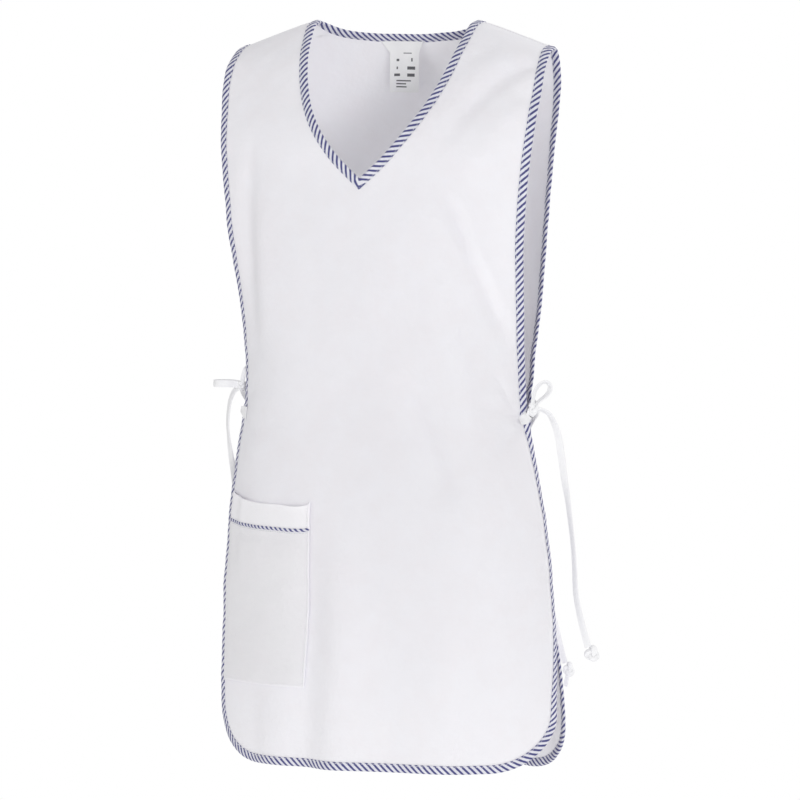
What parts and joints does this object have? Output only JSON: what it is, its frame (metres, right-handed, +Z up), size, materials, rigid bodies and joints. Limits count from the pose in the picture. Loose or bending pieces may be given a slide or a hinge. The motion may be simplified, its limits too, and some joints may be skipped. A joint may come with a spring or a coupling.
{
  "type": "sleeveless slip-over work tunic, open in its worn form",
  "caption": "Slip-over work tunic in its worn form: a front and a back joined at the shoulders, open sides tied at the waist, V neck, hip pocket and striped binding on every edge.",
  "frame": {"origin": "midway between the two shoulder seams, at the level of the neck points, where the wearer's shoulders carry the tunic", "axes": "+Z up along the standing wearer, the wearer faces -Y, and the wearer's left is +X"},
  "size_m": [0.4146, 0.201, 0.7626],
  "materials": {
    "white_cloth": "matt white plain-weave cotton and polyester cloth, soft, slightly cool",
    "striped_bias": "bias-cut binding with even blue and white stripes running slantwise",
    "white_tape": "folded and stitched white cotton tape",
    "label_satin": "white satin label, bare but for plain bars"
  },
  "bodies": {
    "root": {"front_panel": "white_cloth", "back_panel": "white_cloth", "pocket": "white_cloth", "label": "label_satin", "side_binding_front": "striped_bias", "side_binding_back": "striped_bias", "neck_binding_front": "striped_bias", "neck_binding_back": "striped_bias", "pocket_piping": "striped_bias", "tie_stay_front_left": "white_tape", "tie_stay_front_right": "white_tape", "tie_stay_back_left": "white_tape", "tie_stay_back_right": "white_tape", "tie_loop_left": "white_tape", "tie_loop_right": "white_tape", "tie_knot_left": "white_tape", "tie_knot_right": "white_tape", "tie_tail_left_side": "white_tape", "tie_tail_left_back": "white_tape", "tie_tail_right_side": "white_tape", "tie_tail_right_back": "white_tape", "tie_end_knot_left_side": "white_tape", "tie_end_knot_left_back": "white_tape", "tie_end_knot_right_side": "white_tape", "tie_end_knot_right_back": "white_tape"}
  },
  "joints": []
}
